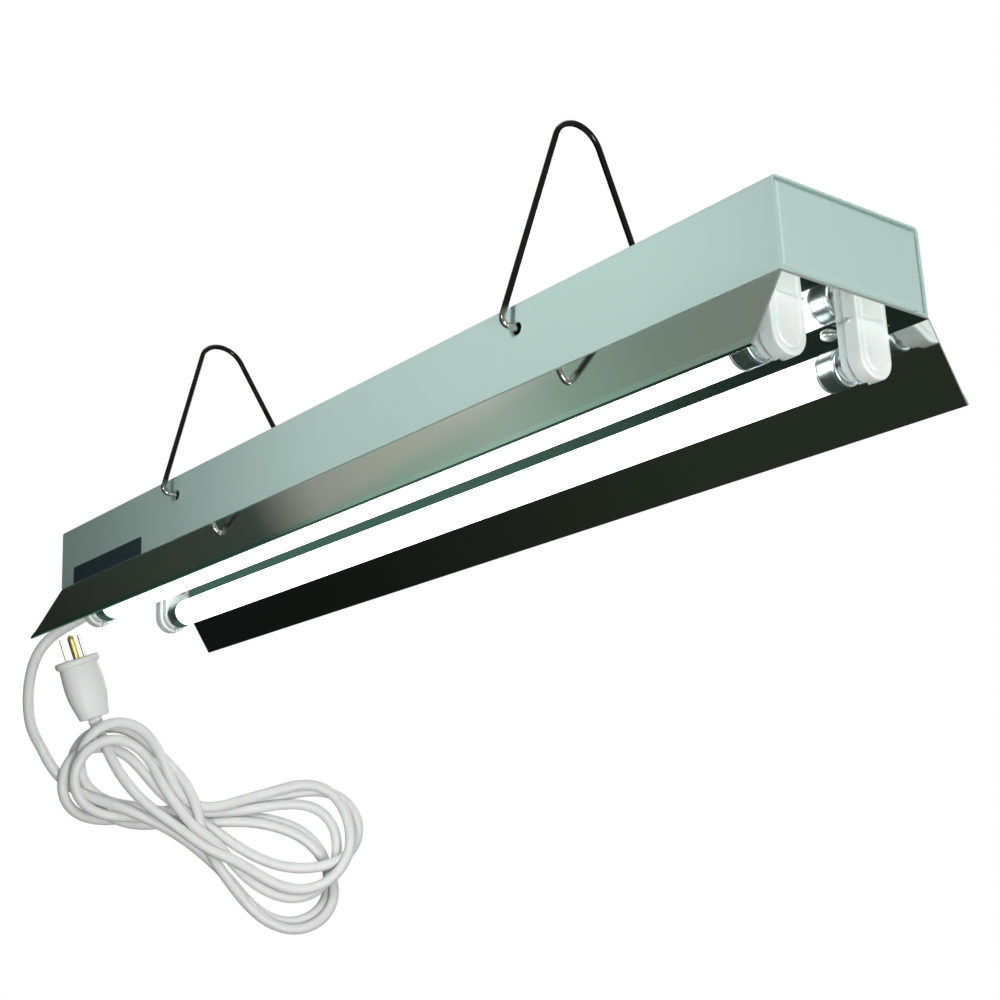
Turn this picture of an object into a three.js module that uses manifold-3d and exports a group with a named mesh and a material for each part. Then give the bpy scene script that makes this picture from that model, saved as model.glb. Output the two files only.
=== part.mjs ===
// Hanging strip grow light with two T5 lamps, sheet-metal reflector, wire hangers and a plugged cord.
// Millimetres, +Z up, +X along the lamps. The origin is the centre of the housing's flat top.
import * as THREE from 'three';
import { mergeVertices } from 'three/addons/utils/BufferGeometryUtils.js';
import Module from 'manifold-3d';

const wasm = await Module();
wasm.setup();

// ---- driving dimensions ----
const GAP = 0.3;

const HOUSING = { length: 604, width: 87, height: 37.7, sheet: 0.9, bend: 2.5, lip: 7 };
const REFLECTOR = { out: 19.5, drop: 32.8, sheet: 0.8, hem: 3, hemExtra: 0.6 };
const END_PLATE = { sheet: 1.0, bend: 2.0, depth: 9 };
const SOCKET_PLATE = { sheet: 1.2, width: 38, side: 2.2 };
const LAMP = { radius: 8, length: 549, spacing: 51, below: 15.7, wall: 0.9 };
const CAP = { radius: 8.3, length: 10, sheet: 0.4, neck: 0.4 };
const PIN = { radius: 1.18, length: 7.1, spacing: 4.75, baseRadius: 5.6 };
const HOLDER = { front: 3.4, step: 7.3, back: 14.3, radius: 9.7, frontRadius: 8.3, foot: 8 };
const ROTOR = { radius: 6.4, bore: 6.8, depth: 9.2, slot: 2.9 };
const SCREW = { headRadius: 3.5, head: 2.2, shankRadius: 1.6, shank: 6, fromLamp: 5.5, inboard: 2.5 };
const BALLAST = { length: 230, width: 40, height: 27, sheet: 0.8, drop: 4, ear: 9 };
const BOARD = { thickness: 1.6, margin: 3, below: 6 };
const WIRE = { radius: 0.95, sides: 6 };
const NUT = { radius: 5, mouth: 6, length: 17 };
const HANGER = { wire: 1.5, reach: 53, slope: 0.39, top: 110.8, tip: 37.5, hook: 4.5, hole: 3, down: 12.2 };
const HANGER_PLACES = [{ name: 'hanger_1', x: -149, lean: -14 }, { name: 'hanger_2', x: 156, lean: 0 }];
const RELIEF = { y: 15, down: 26, flange: 9, neck: 6.6, tip: 4.9, outside: 26, inside: 11 };
const CORD = { radius: 3.65, sides: 8 };
const HANK = { x: -420, y: -17, turn: 67, thickness: 34 };
const PLUG = { flangeRadius: 15.3, flange: 4.4, bodyTop: 13.4, bodyMid: 14, bodyLow: 10.6, length: 43 };
const PLUG_FLATNESS = 0.8;
const PLUG_FOOT = { along: 48, z: -103.2, tilt: 10, lean: -18.5 };
const BLADE = { thickness: 1.5, width: 6.4, length: 15.4, spacing: 12.7, set: 2 };
const GROUND_PIN = { radius: 2.35, length: 16.8, offset: 8.5 };
const LABEL = { length: 92, height: 10.2, thickness: 0.25, x: -238, above: 0.4 };

const BOTTOM = -HOUSING.height;
const HALF = HOUSING.length / 2;
const LAMP_Z = BOTTOM - LAMP.below;
const LAMP_END = LAMP.length / 2;
const FLOOR_TOP = BOTTOM + HOUSING.sheet + GAP;

const COLOURS = {
  paint: [0xa9c2bb, 0.35, 0.25],
  mirror: [0x9a9d98, 0.08, 1.0],
  zinc: [0xb4b6b4, 0.4, 0.9],
  steel: [0x2e2e2c, 0.25, 1.0],
  white: [0xe6ebe8, 0.45, 0.0],
  tube: [0xf6fbff, 0.3, 0.0],
  cap: [0xb9c4c4, 0.25, 1.0],
  brass: [0xc6a04a, 0.3, 1.0],
  cord: [0xdedede, 0.5, 0.0],
  board: [0x2f6b3c, 0.6, 0.0],
  ballast: [0xdcdcd6, 0.4, 0.3],
  black: [0x161616, 0.5, 0.0],
  blue: [0x2b4f9a, 0.5, 0.0],
  red: [0xa8302a, 0.5, 0.0],
  green: [0x2f7a3c, 0.5, 0.0],
  orange: [0xd57d2a, 0.5, 0.0],
  label: [0x6f8698, 0.5, 0.0],
};

const lamp = new THREE.Group();

// ---- helpers ----
function add(name, geometry, colour, parent = lamp) {
  const [color, roughness, metalness] = COLOURS[colour];
  const mesh = new THREE.Mesh(geometry, new THREE.MeshStandardMaterial({ color, roughness, metalness }));
  mesh.name = name;
  parent.add(mesh);
  return mesh;
}

function toSolid(geometry) {
  const bare = geometry.clone();
  bare.deleteAttribute('normal');
  bare.deleteAttribute('uv');
  const merged = mergeVertices(bare, 1e-4);
  const vertProperties = Float32Array.from(merged.attributes.position.array);
  const triVerts = Uint32Array.from(merged.index.array);
  return new wasm.Manifold(new wasm.Mesh({ numProp: 3, vertProperties, triVerts }));
}

function toGeometry(solid) {
  const mesh = solid.getMesh();
  const geometry = new THREE.BufferGeometry();
  geometry.setAttribute('position', new THREE.BufferAttribute(mesh.vertProperties, 3));
  geometry.setIndex(new THREE.BufferAttribute(mesh.triVerts, 1));
  geometry.computeVertexNormals();
  return geometry;
}

function cut(body, ...tools) {
  return toGeometry(tools.reduce((solid, tool) => solid.subtract(toSolid(tool)), toSolid(body)));
}

function join(...pieces) {
  return toGeometry(pieces.map(toSolid).reduce((solid, piece) => solid.add(piece)));
}

function box(x0, x1, y0, y1, z0, z1) {
  const geometry = new THREE.BoxGeometry(x1 - x0, y1 - y0, z1 - z0);
  return geometry.translate((x0 + x1) / 2, (y0 + y1) / 2, (z0 + z1) / 2);
}

function upright(radius, height, sides) {
  return new THREE.CylinderGeometry(radius, radius, height, sides).rotateX(Math.PI / 2);
}

// A Y-Z outline extruded along +X from x.
function alongX(shape, x, length, segments = 6) {
  const settings = { depth: length, bevelEnabled: false, curveSegments: segments };
  const geometry = new THREE.ExtrudeGeometry(shape, settings);
  const turn = new THREE.Matrix4().makeBasis(
    new THREE.Vector3(0, 1, 0), new THREE.Vector3(0, 0, 1), new THREE.Vector3(1, 0, 0));
  return geometry.applyMatrix4(turn).translate(x, 0, 0);
}

// A profile of [radius, distance] pairs turned about +X, and the same about +Z.
function turnedX(profile, segments = 24) {
  const points = profile.map(([r, a]) => new THREE.Vector2(r, a));
  return new THREE.LatheGeometry(points, segments).rotateZ(-Math.PI / 2);
}

function turnedZ(profile, segments) {
  const points = profile.map(([r, z]) => new THREE.Vector2(r, z));
  return new THREE.LatheGeometry(points, segments).rotateX(Math.PI / 2);
}

function closed(profile) {
  return [...profile, profile[0]];
}

function polygon(points) {
  return new THREE.Shape(points.map(([a, b]) => new THREE.Vector2(a, b)));
}

function roundSection(radius, sides) {
  return polygon(Array.from({ length: sides }, (_, i) => {
    const angle = 2 * Math.PI * (i + 0.5) / sides;
    return [radius * Math.cos(angle), radius * Math.sin(angle)];
  }));
}

function sweep(path, radius, sides, steps) {
  const settings = { steps, extrudePath: path, bevelEnabled: false };
  return new THREE.ExtrudeGeometry(roundSection(radius, sides), settings);
}

function spline(points) {
  return new THREE.CatmullRomCurve3(points.map((p) => new THREE.Vector3(...p)), false, 'centripetal');
}

// ---- housing ----
function channelOutline() {
  const { width, sheet, bend, lip } = HOUSING;
  const half = width / 2;
  const inner = half - sheet;
  const shape = new THREE.Shape();
  shape.moveTo(-half + lip, BOTTOM);
  shape.lineTo(-half + lip, BOTTOM + sheet);
  shape.lineTo(-inner, BOTTOM + sheet);
  shape.lineTo(-inner, -bend);
  shape.absarc(-half + bend, -bend, bend - sheet, Math.PI, Math.PI / 2, true);
  shape.absarc(half - bend, -bend, bend - sheet, Math.PI / 2, 0, true);
  shape.lineTo(inner, BOTTOM + sheet);
  shape.lineTo(half - lip, BOTTOM + sheet);
  shape.lineTo(half - lip, BOTTOM);
  shape.lineTo(half, BOTTOM);
  shape.lineTo(half, -bend);
  shape.absarc(half - bend, -bend, bend, 0, Math.PI / 2, false);
  shape.absarc(-half + bend, -bend, bend, Math.PI / 2, Math.PI, false);
  shape.lineTo(-half, BOTTOM);
  shape.closePath();
  return shape;
}

function hangerHole(x) {
  const hole = new THREE.CylinderGeometry(HANGER.hole, HANGER.hole, HOUSING.width + 4, 16);
  return hole.translate(x, 0, -HANGER.down);
}

function addHousing() {
  const body = alongX(channelOutline(), -HALF, HOUSING.length, 4);
  add('housing_channel', cut(body, ...HANGER_PLACES.map((place) => hangerHole(place.x))), 'paint');
}

// Pan-shaped end plate that fits inside the channel, its bends facing out.
function endPlate() {
  const { sheet, bend, depth } = END_PLATE;
  const half = HOUSING.width / 2 - HOUSING.sheet - GAP;
  const low = BOTTOM + HOUSING.sheet + GAP;
  const high = -HOUSING.sheet - GAP;
  const corner = HOUSING.bend - HOUSING.sheet;
  const rect = (inset) => {
    const shape = new THREE.Shape();
    const round = Math.max(corner - inset, 0.4);
    shape.moveTo(-half + inset, low + inset);
    shape.lineTo(half - inset, low + inset);
    shape.lineTo(half - inset, high - inset - round);
    shape.absarc(half - inset - round, high - inset - round, round, 0, Math.PI / 2, false);
    shape.absarc(-half + inset + round, high - inset - round, round, Math.PI / 2, Math.PI, false);
    shape.closePath();
    return shape;
  };
  const flange = alongX(rect(0), HALF - depth, depth - bend, 4);
  const steps = 4;
  const layers = Array.from({ length: steps }, (_, i) => {
    const a0 = Math.PI / 2 * i / steps;
    const a1 = Math.PI / 2 * (i + 1) / steps;
    const x0 = HALF - bend + bend * Math.sin(a0);
    const x1 = HALF - bend + bend * Math.sin(a1);
    return alongX(rect(bend * (1 - Math.cos((a0 + a1) / 2))), x0 - 0.001, x1 - x0 + 0.001, 4);
  });
  const hollow = alongX(rect(sheet), HALF - depth - 1, depth + 1 - sheet, 4);
  return cut(join(flange, ...layers), hollow);
}

function addEndPlates() {
  add('end_plate_right', endPlate(), 'paint');
  const bushingHole = new THREE.CylinderGeometry(RELIEF.neck + GAP, RELIEF.neck + GAP, 8, 20)
    .rotateZ(Math.PI / 2)
    .translate(-HALF, RELIEF.y, -RELIEF.down);
  const left = toGeometry(toSolid(endPlate()).mirror([1, 0, 0]));
  add('end_plate_left', cut(left, bushingHole), 'paint');
}

// ---- reflector ----
function reflectorOutline() {
  const { out, drop, sheet, hem, hemExtra } = REFLECTOR;
  const top = BOTTOM - GAP;
  const half = HOUSING.width / 2;
  const wing = Math.hypot(out, drop);
  const [ey, ez] = [out / wing, -drop / wing];
  const [ny, nz] = [drop / wing, out / wing];
  const [tipY, tipZ] = [half + out, top - drop];
  const corner = sheet * (wing - out) / drop;
  const right = [
    [half, top],
    [tipY - ey * hem, tipZ - ez * hem],
    [tipY - ey * hem + ny * hemExtra, tipZ - ez * hem + nz * hemExtra],
    [tipY + ny * hemExtra, tipZ + nz * hemExtra],
    [tipY - ny * sheet, tipZ - nz * sheet],
    [half - corner, top - sheet],
  ];
  const left = right.map(([y, z]) => [-y, z]).reverse();
  return polygon([...right, ...left]);
}

function holderSlot(side, y, low, high) {
  const x0 = side * (LAMP_END + HOLDER.front - 0.5);
  const x1 = side * (LAMP_END + HOLDER.back + 0.5);
  const reach = HOLDER.radius + 0.5;
  return box(Math.min(x0, x1), Math.max(x0, x1), y - reach, y + reach, low, high);
}

function screwHole(side, y, low, high) {
  const radius = SCREW.shankRadius + GAP;
  return upright(radius, high - low, 12).translate(side * (LAMP_END - SCREW.fromLamp), y, (low + high) / 2);
}

function forEachEnd(action) {
  for (const [row, y] of [['front', -LAMP.spacing / 2], ['rear', LAMP.spacing / 2]]) {
    for (const [end, side] of [['left', -1], ['right', 1]]) {
      action(`${row}_${end}`, side, y);
    }
  }
}

function screwY(y) {
  return y - Math.sign(y) * SCREW.inboard;
}

function addReflector() {
  const sheet = alongX(reflectorOutline(), -HALF, HOUSING.length);
  const tools = [];
  forEachEnd((name, side, y) => {
    tools.push(holderSlot(side, y, BOTTOM - 4, BOTTOM + 4));
    tools.push(screwHole(side, screwY(y), BOTTOM - 4, BOTTOM + 4));
  });
  add('reflector', cut(sheet, ...tools), 'mirror');
}

// Cross plates inside the housing that carry the lamp holders.
function addSocketPlates() {
  const { sheet, width, side } = SOCKET_PLATE;
  const half = HOUSING.width / 2 - HOUSING.sheet - side;
  for (const [end, sign] of [['left', -1], ['right', 1]]) {
    const outer = sign * (HALF - END_PLATE.depth - 1);
    const inner = outer - sign * width;
    const [low, high] = [Math.min(inner, outer), Math.max(inner, outer)];
    const plate = box(low, high, -half, half, FLOOR_TOP, FLOOR_TOP + sheet);
    const tools = [-1, 1].flatMap((row) => {
      const y = row * LAMP.spacing / 2;
      const slot = holderSlot(sign, y, BOTTOM - 1, BOTTOM + 8);
      return [slot, screwHole(sign, screwY(y), BOTTOM - 1, BOTTOM + 8)];
    });
    add(`socket_plate_${end}`, cut(plate, ...tools), 'zinc');
  }
}

function panHeadScrew() {
  const { headRadius, head, shankRadius, shank } = SCREW;
  const body = turnedZ([[0, -head], [headRadius * 0.6, -head], [headRadius * 0.9, -head * 0.7],
    [headRadius, -head * 0.3], [headRadius, 0], [shankRadius, 0], [shankRadius, shank - 1], [0, shank]], 16);
  const arm = headRadius * 0.55;
  const cross = [
    box(-arm, arm, -0.45, 0.45, -head - 1, -head + 0.9),
    box(-0.45, 0.45, -arm, arm, -head - 1, -head + 0.9),
  ];
  return cut(body, ...cross);
}

function addReflectorScrews() {
  forEachEnd((name, side, y) => {
    const screw = add(`reflector_screw_${name}`, panHeadScrew(), 'zinc');
    screw.position.set(side * (LAMP_END - SCREW.fromLamp), screwY(y), BOTTOM - GAP - REFLECTOR.sheet - 0.1);
  });
}

// ---- lamp holders, rotors and lamps; each is drawn for the right end, about the lamp's axis ----
function holderOutline(radius, top) {
  const shape = new THREE.Shape();
  shape.moveTo(-radius, top);
  shape.lineTo(-radius, 0);
  shape.absarc(0, 0, radius, Math.PI, 2 * Math.PI, false);
  shape.lineTo(radius, top);
  shape.closePath();
  return shape;
}

function holderGeometry() {
  const { front, step, back, radius, frontRadius, foot } = HOLDER;
  const top = LAMP.below + foot;
  const face = LAMP.below - GAP - REFLECTOR.sheet;
  const body = alongX(holderOutline(radius, top), step, back - step, 10);
  const nose = alongX(holderOutline(frontRadius, top), front, step - front + 0.01, 10);
  const nub = radius + 1.4;
  const nubs = box(step, step + 3, -nub, nub, face - 1.6, face - 0.3);
  const bore = turnedX([[0, front - 1], [ROTOR.bore, front - 1], [ROTOR.bore, ROTOR.depth + GAP],
    [0, ROTOR.depth + GAP]]);
  const entry = box(front - 1, ROTOR.depth + GAP, -ROTOR.slot / 2, ROTOR.slot / 2, -radius - 2, 0);
  const rim = 2.4;
  const recess = alongX(holderOutline(radius - rim, face - 4), back - 0.7, 2, 10);
  const raised = alongX(holderOutline(radius - rim - 1.3, face - 5.3), back - 1.7, 1.4, 10);
  return toGeometry(toSolid(join(body, nose, nubs))
    .subtract(toSolid(bore))
    .subtract(toSolid(entry))
    .subtract(toSolid(recess))
    .add(toSolid(raised)));
}

function rotorGeometry() {
  const { radius, depth } = ROTOR;
  const half = ROTOR.slot / 2;
  const body = turnedX([[0, GAP], [radius - 0.5, GAP], [radius, GAP + 0.5], [radius, depth], [0, depth]]);
  const slot = box(GAP - 1, depth - 1, -radius - 1, radius + 1, -half, half);
  return cut(body, slot);
}

function capGeometry() {
  const { radius, length, sheet } = CAP;
  const hole = PIN.baseRadius + GAP;
  return turnedX(closed([[hole, -0.6], [radius - sheet, -0.6], [radius - sheet, -length], [radius, -length],
    [radius, -0.5], [radius - 0.5, 0], [hole, 0]]));
}

function pinGeometry() {
  const base = turnedX([[0, -3], [PIN.baseRadius, -3], [PIN.baseRadius, 0], [0, 0]], 16);
  const pins = [-1, 1].map((s) => turnedX([[0, -1], [PIN.radius, -1], [PIN.radius, PIN.length - 0.4],
    [PIN.radius - 0.4, PIN.length], [0, PIN.length]], 8).translate(0, s * PIN.spacing / 2, 0));
  return join(base, ...pins);
}

function tubeGeometry() {
  const { radius, wall } = LAMP;
  const end = LAMP_END - 1.4;
  const shoulder = LAMP_END - CAP.length - 0.4;
  const neck = radius - CAP.neck;
  return turnedX(closed([[radius - wall, -end], [neck, -end], [neck, -shoulder], [radius, -shoulder + 1],
    [radius, shoulder - 1], [neck, shoulder], [neck, end], [radius - wall, end]]), 20);
}

function addLampEnd(name, side, y) {
  const end = new THREE.Group();
  end.position.set(side * LAMP_END, y, LAMP_Z);
  end.rotation.z = side > 0 ? 0 : Math.PI;
  lamp.add(end);
  add(`holder_${name}`, holderGeometry(), 'white', end);
  add(`rotor_${name}`, rotorGeometry(), 'white', end);
  add(`lamp_cap_${name}`, capGeometry(), 'cap', end);
  add(`lamp_pins_${name}`, pinGeometry(), 'brass', end);
}

function addLamps() {
  for (const [row, side] of [['front', -1], ['rear', 1]]) {
    const tube = add(`lamp_tube_${row}`, tubeGeometry(), 'tube');
    tube.position.set(0, side * LAMP.spacing / 2, LAMP_Z);
  }
  forEachEnd(addLampEnd);
}

// ---- ballast and wiring inside the housing ----
function addBallast() {
  const { length, width, height, sheet, drop, ear } = BALLAST;
  const top = -drop;
  const [hx, hy] = [length / 2, width / 2];
  const low = top - height;
  const shell = box(-hx, hx, -hy, hy, low, top);
  const hollow = box(-hx + sheet, hx - sheet, -hy + sheet, hy - sheet, low - 1, top - sheet);
  const notches = [-1, 1].map((s) => box(s * hx - 2, s * hx + 2, -hy + 4, hy - 4, low - 1, low + 4));
  add('ballast_case', cut(shell, hollow, ...notches), 'ballast');
  addBallastBoard(low);
  const baseTop = low - GAP;
  const base = box(-hx - ear, hx + ear, -hy, hy, baseTop - sheet, baseTop);
  const holes = [-1, 1].map((s) => upright(1.9, 6, 12).translate(s * (hx + ear / 2), 0, baseTop));
  add('ballast_base', cut(base, ...holes), 'zinc');
  for (const [end, s] of [['left', -1], ['right', 1]]) {
    addBallastPost(end, s * (hx + ear / 2), baseTop);
  }
}

function addBallastBoard(caseLow) {
  const hx = BALLAST.length / 2 - BOARD.margin;
  const hy = BALLAST.width / 2 - BOARD.margin;
  const low = caseLow + BOARD.below;
  const top = low + BOARD.thickness;
  const parts = [box(-hx, hx, -hy, hy, low, top)];
  for (const [x, y, size, tall] of [[-60, 2, 18, 15], [-15, -3, 20, 16], [62, 0, 18, 15]]) {
    parts.push(box(x - size / 2, x + size / 2, y - size / 2, y + size / 2, top - 0.5, top + tall));
  }
  for (const x of [-90, -38, 14, 34, 88]) {
    parts.push(upright(5, 14, 12).translate(x, 6, top + 6.5));
  }
  add('ballast_board', join(...parts), 'board');
}

// Screw up through the ballast's ear into a spacer post under the housing's top.
function addBallastPost(end, x, z) {
  const top = -HOUSING.sheet - GAP;
  const low = z + GAP;
  const post = cut(upright(3.2, top - low, 12), upright(1.8, 60, 12));
  add(`ballast_post_${end}`, post, 'zinc').position.set(x, 0, (top + low) / 2);
  add(`ballast_screw_${end}`, panHeadScrew(), 'zinc').position.set(x, 0, z - BALLAST.sheet - 0.1);
}

function addWire(name, points, colour) {
  add(name, sweep(spline(points), WIRE.radius, WIRE.sides, 4 * (points.length - 1)), colour);
}

function addHolderWires() {
  const top = BOTTOM + HOLDER.foot;
  const start = BALLAST.length / 2 + 1;
  const middle = LAMP_END + (HOLDER.step + HOLDER.back) / 2;
  forEachEnd((name, side, y) => {
    const out = Math.sign(y);
    addWire(`wire_${name}`, [
      [side * start, out * 13, -29], [side * (start + 22), out * 20, -30], [side * 190, out * 24, -31],
      [side * (middle - 28), y, -28], [side * (middle - 9), y, top + 9], [side * middle, y, top + 1],
    ], y < 0 ? 'blue' : 'red');
  });
}

function wireNut() {
  const { mouth, radius, length } = NUT;
  return turnedX([[0, 0], [mouth, 0], [mouth, 3], [radius, 7], [radius * 0.7, length], [0, length]], 10);
}

function addSupplyWires() {
  const inner = -HALF + RELIEF.inside + GAP;
  const nutX = -205;
  const z = -23;
  for (const [name, y, colour, nutY] of [['live', 17, 'black', 9], ['neutral', 13, 'white', -9]]) {
    add(`wire_nut_${name}`, wireNut(), 'orange').position.set(nutX, nutY, -13);
    addWire(`wire_supply_${name}`, [
      [inner, y, z], [inner + 18, y, z + 1], [nutX - 28, nutY + 1, -15], [nutX - 12, nutY - 1.6, -13],
      [nutX - GAP, nutY - 1.6, -13],
    ], colour);
    addWire(`wire_ballast_${name}`, [
      [nutX - GAP, nutY + 2.2, -13], [nutX - 12, nutY + 3, -12], [nutX - 18, nutY + 3, -8.5],
      [nutX - 10, nutY + 2, -4.5],
      [nutX + 22, nutY, -5], [nutX + 60, nutY, -16], [-BALLAST.length / 2 - 12, nutY, -26],
      [-BALLAST.length / 2 - 1, nutY * 0.7, -29],
    ], colour);
  }
  addWire('wire_ground', [
    [inner, 15, -28.5], [inner + 16, 8, -27], [-252, -12, -20], [-243, -20, -12], [-240, -21, -6.6],
  ], 'green');
  const shortScrew = cut(panHeadScrew(), box(-9, 9, -9, 9, 2.6, 9));
  add('ground_screw', shortScrew, 'green').position.set(-240, -21, -HOUSING.sheet - GAP - 2.7);
}

// ---- wire hangers; each turns about the line through its two side holes ----
class HangerPath extends THREE.CurvePath {
  constructor() {
    super();
    const { reach, slope, top, tip, hook } = HANGER;
    const lean = Math.atan(slope);
    const centre = (top - reach * Math.cos(lean)) / (1 - Math.sin(lean));
    const radius = top - centre;
    const back = hook * Math.tan((Math.PI / 2 + lean) / 2);
    const legFoot = reach - back;
    const rise = [reach - back * Math.sin(lean), back * Math.cos(lean)];
    const shoulder = [radius * Math.cos(lean), centre + radius * Math.sin(lean)];
    this.bend(legFoot, tip, rise, shoulder, -1);
    const arc = new THREE.EllipseCurve(0, centre, radius, radius, Math.PI - lean, lean, true);
    this.add(new ArcInPlane(arc));
    this.bend(legFoot, tip, rise, shoulder, 1);
  }

  bend(legFoot, tip, rise, shoulder, side) {
    const at = (y, z) => new THREE.Vector3(0, side * y, z);
    const pieces = [
      [at(tip, 0), at(legFoot, 0)],
      [at(legFoot, 0), at(HANGER.reach, 0), at(...rise)],
      [at(...rise), at(...shoulder)],
    ];
    const ordered = side < 0 ? pieces : pieces.map((p) => [...p].reverse()).reverse();
    for (const p of ordered) {
      this.add(p.length === 2 ? new THREE.LineCurve3(...p) : new THREE.QuadraticBezierCurve3(...p));
    }
  }
}

class ArcInPlane extends THREE.Curve {
  constructor(arc) {
    super();
    this.arc = arc;
  }

  getPoint(t, target = new THREE.Vector3()) {
    const point = this.arc.getPoint(t);
    return target.set(0, point.x, point.y);
  }
}

function addHangers() {
  for (const place of HANGER_PLACES) {
    const hanger = add(place.name, sweep(new HangerPath(), HANGER.wire, 8, 64), 'steel');
    hanger.position.set(place.x, 0, -HANGER.down);
    hanger.rotation.y = THREE.MathUtils.degToRad(place.lean);
  }
}

// ---- cord, its strain relief, hank and plug ----
function addStrainRelief() {
  const { y, down, flange, neck, tip, outside, inside } = RELIEF;
  const collar = flange - 1;
  const profile = [[0, -inside], [collar, -inside], [collar, -8], [neck, -7.4], [neck, GAP], [flange, GAP],
    [flange, 2.6], [neck, 3.4], [tip, outside], [0, outside]];
  add('strain_relief', turnedX(profile, 16).rotateZ(Math.PI), 'cord').position.set(-HALF, y, -down);
}

// The cord's free route from the strain relief's tip down to the hank.
const LEAD = [
  [-328.3, 15, -26], [-345, 15.5, -27], [-360, 15.5, -28.8], [-375, 14.5, -31.6], [-390, 11.5, -35.6],
  [-403, 5, -40.5], [-412, -2.5, -47.5], [-417, -8.5, -57.5], [-418.5, -12.4, -70], [-418.8, -14.2, -90],
  [-417.7, -11.5, -110], [-413.5, -1.7, -131],
];

// The hank's outline in its own upright plane, from the left lobe's top round to the right.
const HANK_OUTLINE = [
  [49, -104.6], [74, -104], [90, -113], [103, -132], [124, -149], [160, -149], [196, -148], [223, -155],
  [239, -174], [239, -203], [225, -226], [218, -245], [192, -259], [165, -254], [144, -235], [118, -203],
  [98, -190], [60, -179], [33, -171], [20, -155], [22, -138], [34, -117],
];

function hankSolid(grow) {
  const points = HANK_OUTLINE.map(([u, z]) => new THREE.Vector2(u, z));
  const outline = new THREE.SplineCurve([...points, points[0]]).getPoints(44).slice(0, -1);
  const shape = new THREE.Shape(outline.reverse());
  const depth = HANK.thickness + 2 * grow;
  const bevel = { bevelEnabled: grow > 0, bevelThickness: 0.01, bevelSize: grow, bevelSegments: 1 };
  const plate = new THREE.ExtrudeGeometry(shape, { depth, curveSegments: 1, ...bevel });
  return plate.rotateX(Math.PI / 2).translate(0, depth / 2, 0);
}

function hankPlace(geometry) {
  return geometry.rotateZ(THREE.MathUtils.degToRad(HANK.turn)).translate(HANK.x, HANK.y, 0);
}

function addCord() {
  const lead = sweep(spline(LEAD), CORD.radius, CORD.sides, 26);
  add('cord_lead', cut(lead, hankPlace(hankSolid(GAP))), 'cord');
  add('cord_hank', hankPlace(hankSolid(0)), 'cord');
}

// The plug stands above the hank's left lobe; +Z is its blade end.
function addPlug() {
  const { flangeRadius, flange, bodyTop, bodyMid, bodyLow, length } = PLUG;
  const plane = new THREE.Group();
  plane.position.set(HANK.x, HANK.y, 0);
  plane.rotation.z = THREE.MathUtils.degToRad(HANK.turn);
  lamp.add(plane);
  const plug = new THREE.Group();
  plug.position.set(PLUG_FOOT.along, 0, PLUG_FOOT.z);
  const [tilt, lean] = [PLUG_FOOT.tilt, PLUG_FOOT.lean].map(THREE.MathUtils.degToRad);
  plug.rotation.set(tilt, lean, 0, 'YXZ');
  plane.add(plug);
  const body = turnedZ([[0, 0], [bodyLow - 1, 0], [bodyLow, 1], [bodyMid - 0.4, 14], [bodyMid, 22],
    [bodyTop, length - flange], [flangeRadius, length - flange], [flangeRadius, length - 0.8],
    [flangeRadius - 0.8, length], [0, length]], 24);
  add('plug_body', body.scale(1, PLUG_FLATNESS, 1), 'cord', plug);
  const root = length + GAP;
  for (const [side, s] of [['left', -1], ['right', 1]]) {
    const x = s * BLADE.spacing / 2;
    const blade = new THREE.BoxGeometry(BLADE.thickness, BLADE.width, BLADE.length);
    add(`plug_blade_${side}`, blade, 'zinc', plug).position.set(x, BLADE.set, root + BLADE.length / 2);
  }
  const { radius, length: reach, offset } = GROUND_PIN;
  const tip = root + reach;
  const nose = [[radius, tip - 2], [radius * 0.6, tip - 0.4], [0, tip]];
  const pin = turnedZ([[0, root], [radius, root], ...nose], 12);
  add('plug_ground_pin', pin, 'brass', plug).position.y = BLADE.set - offset;
}

function addLabel() {
  const y = -HOUSING.width / 2 - 0.1;
  const { length, height, thickness, x, above } = LABEL;
  const low = BOTTOM + above;
  add('label', box(x - length / 2, x + length / 2, y - thickness, y, low, low + height), 'label');
}

addHousing();
addEndPlates();
addReflector();
addSocketPlates();
addReflectorScrews();
addLamps();
addBallast();
addHolderWires();
addSupplyWires();
addHangers();
addStrainRelief();
addCord();
addPlug();
addLabel();

export default lamp;
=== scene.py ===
"""Hanging strip grow light with two T5 lamps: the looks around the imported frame, in metres, +Z up."""
import math

import bmesh
import bpy
import numpy as np
from mathutils import Matrix, Vector


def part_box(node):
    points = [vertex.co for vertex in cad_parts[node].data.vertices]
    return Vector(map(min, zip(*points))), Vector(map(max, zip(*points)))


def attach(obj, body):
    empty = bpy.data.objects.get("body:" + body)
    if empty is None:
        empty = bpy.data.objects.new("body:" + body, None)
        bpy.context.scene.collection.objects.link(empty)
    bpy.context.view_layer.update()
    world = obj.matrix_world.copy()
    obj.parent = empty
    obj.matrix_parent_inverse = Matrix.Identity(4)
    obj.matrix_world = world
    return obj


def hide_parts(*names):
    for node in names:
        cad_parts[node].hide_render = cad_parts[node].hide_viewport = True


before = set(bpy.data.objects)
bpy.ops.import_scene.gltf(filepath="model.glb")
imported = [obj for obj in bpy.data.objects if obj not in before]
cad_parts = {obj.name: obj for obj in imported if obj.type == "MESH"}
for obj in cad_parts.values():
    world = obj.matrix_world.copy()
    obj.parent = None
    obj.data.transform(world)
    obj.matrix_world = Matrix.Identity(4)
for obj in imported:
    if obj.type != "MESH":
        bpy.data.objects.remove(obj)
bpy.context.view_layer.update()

# ---- driving values, in millimetres unless said otherwise ----
MM = 0.001
GAP = 0.3
LAMP = {"radius": 8.0, "wall": 0.9, "cap": 10.0, "cap_radius": 8.3, "cap_hole": 5.9, "neck": 0.4,
        "full_glow": 225.0}
HOLDER = {"front": 2.4, "step": 7.3, "back": 14.3, "radius": 9.7, "front_radius": 8.3, "foot": 8.0}
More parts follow.
